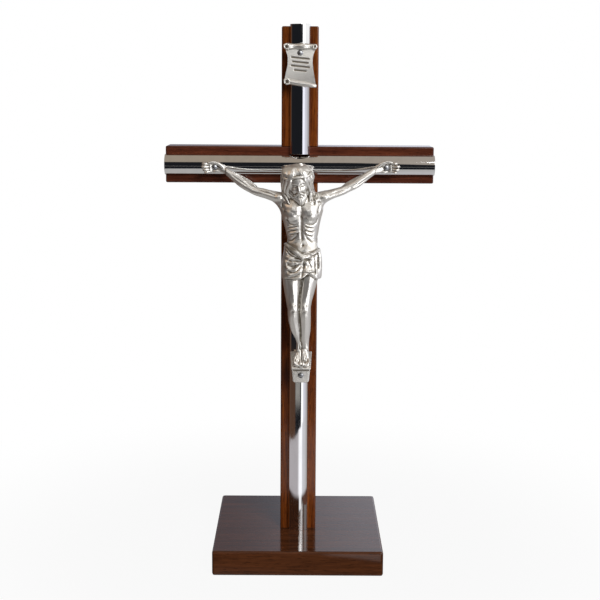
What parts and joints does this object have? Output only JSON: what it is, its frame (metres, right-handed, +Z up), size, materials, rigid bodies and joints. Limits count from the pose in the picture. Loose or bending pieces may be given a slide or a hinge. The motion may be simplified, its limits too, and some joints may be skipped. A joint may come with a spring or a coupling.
{
  "type": "standing cross",
  "caption": "Standing cross of dark wooden boards on a square base, faced with half-round chrome strips, with a cast figure and a scroll plate nailed to the front.",
  "frame": {"origin": "centre of the base's underside", "axes": "+Z up along the upright, the figure faces -Y, +X to the right of someone who faces the figure"},
  "size_m": [0.1396, 0.088, 0.281],
  "materials": {
    "base_wood": "dark stain under gloss lacquer",
    "cross_wood": "red-brown stain under gloss lacquer",
    "polished_strip": "mirror polish",
    "cast_metal": "satin silver plating on a casting",
    "nail_steel": "bright, slightly dark at the edge",
    "screw_steel": "yellow passivated"
  },
  "bodies": {
    "root": {"base_block": "base_wood", "upright_board": "cross_wood", "crossbar_board": "cross_wood", "lower_strip": "polished_strip", "upper_strip": "polished_strip", "crossbar_strip": "polished_strip", "corpus": "cast_metal", "title_scroll": "cast_metal", "left_hand_nail": "nail_steel", "right_hand_nail": "nail_steel", "foot_nail": "nail_steel", "title_nail": "nail_steel", "left_base_screw": "screw_steel", "right_base_screw": "screw_steel"}
  },
  "joints": []
}
